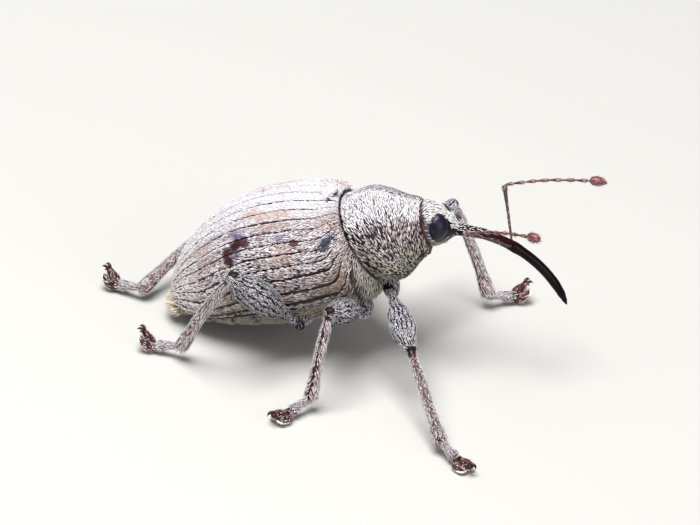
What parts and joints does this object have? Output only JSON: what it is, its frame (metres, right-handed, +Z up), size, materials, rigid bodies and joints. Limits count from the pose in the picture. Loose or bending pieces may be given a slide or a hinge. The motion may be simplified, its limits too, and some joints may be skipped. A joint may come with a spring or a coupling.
{
  "type": "hazelnut weevil",
  "caption": "Still model of a hazelnut weevil standing on its feet: long curved snout, elbowed feelers, ridged domed wing cases and slim jointed legs.",
  "frame": {"origin": "centre of the bounding box, at the level of the soles", "axes": "+X the way the head points, +Y to the animal's left, +Z up from the floor"},
  "size_m": [0.014, 0.0119, 0.0059],
  "materials": {
    "scaled_cuticle": "dull, covered with fine pale scales",
    "leg_cuticle": "dull, sparsely scaled",
    "bare_cuticle": "polished, nearly black",
    "feeler_cuticle": "satin reddish brown",
    "eye_cuticle": "satin, finely faceted"
  },
  "bodies": {
    "root": {"abdomen": "scaled_cuticle", "club_left": "feeler_cuticle", "club_right": "feeler_cuticle", "elytron_left": "scaled_cuticle", "elytron_right": "scaled_cuticle", "eye_left": "eye_cuticle", "eye_right": "eye_cuticle", "femur_front_left": "leg_cuticle", "femur_front_right": "leg_cuticle", "femur_hind_left": "leg_cuticle", "femur_hind_right": "leg_cuticle", "femur_middle_left": "leg_cuticle", "femur_middle_right": "leg_cuticle", "funicle_left": "feeler_cuticle", "funicle_right": "feeler_cuticle", "head": "scaled_cuticle", "prothorax": "scaled_cuticle", "pterothorax": "scaled_cuticle", "rostrum": "bare_cuticle", "scape_left": "feeler_cuticle", "scape_right": "feeler_cuticle", "tarsus_front_left": "leg_cuticle", "tarsus_front_right": "leg_cuticle", "tarsus_hind_left": "leg_cuticle", "tarsus_hind_right": "leg_cuticle", "tarsus_middle_left": "leg_cuticle", "tarsus_middle_right": "leg_cuticle", "tibia_front_left": "leg_cuticle", "tibia_front_right": "leg_cuticle", "tibia_hind_left": "leg_cuticle", "tibia_hind_right": "leg_cuticle", "tibia_middle_left": "leg_cuticle", "tibia_middle_right": "leg_cuticle"}
  },
  "joints": []
}
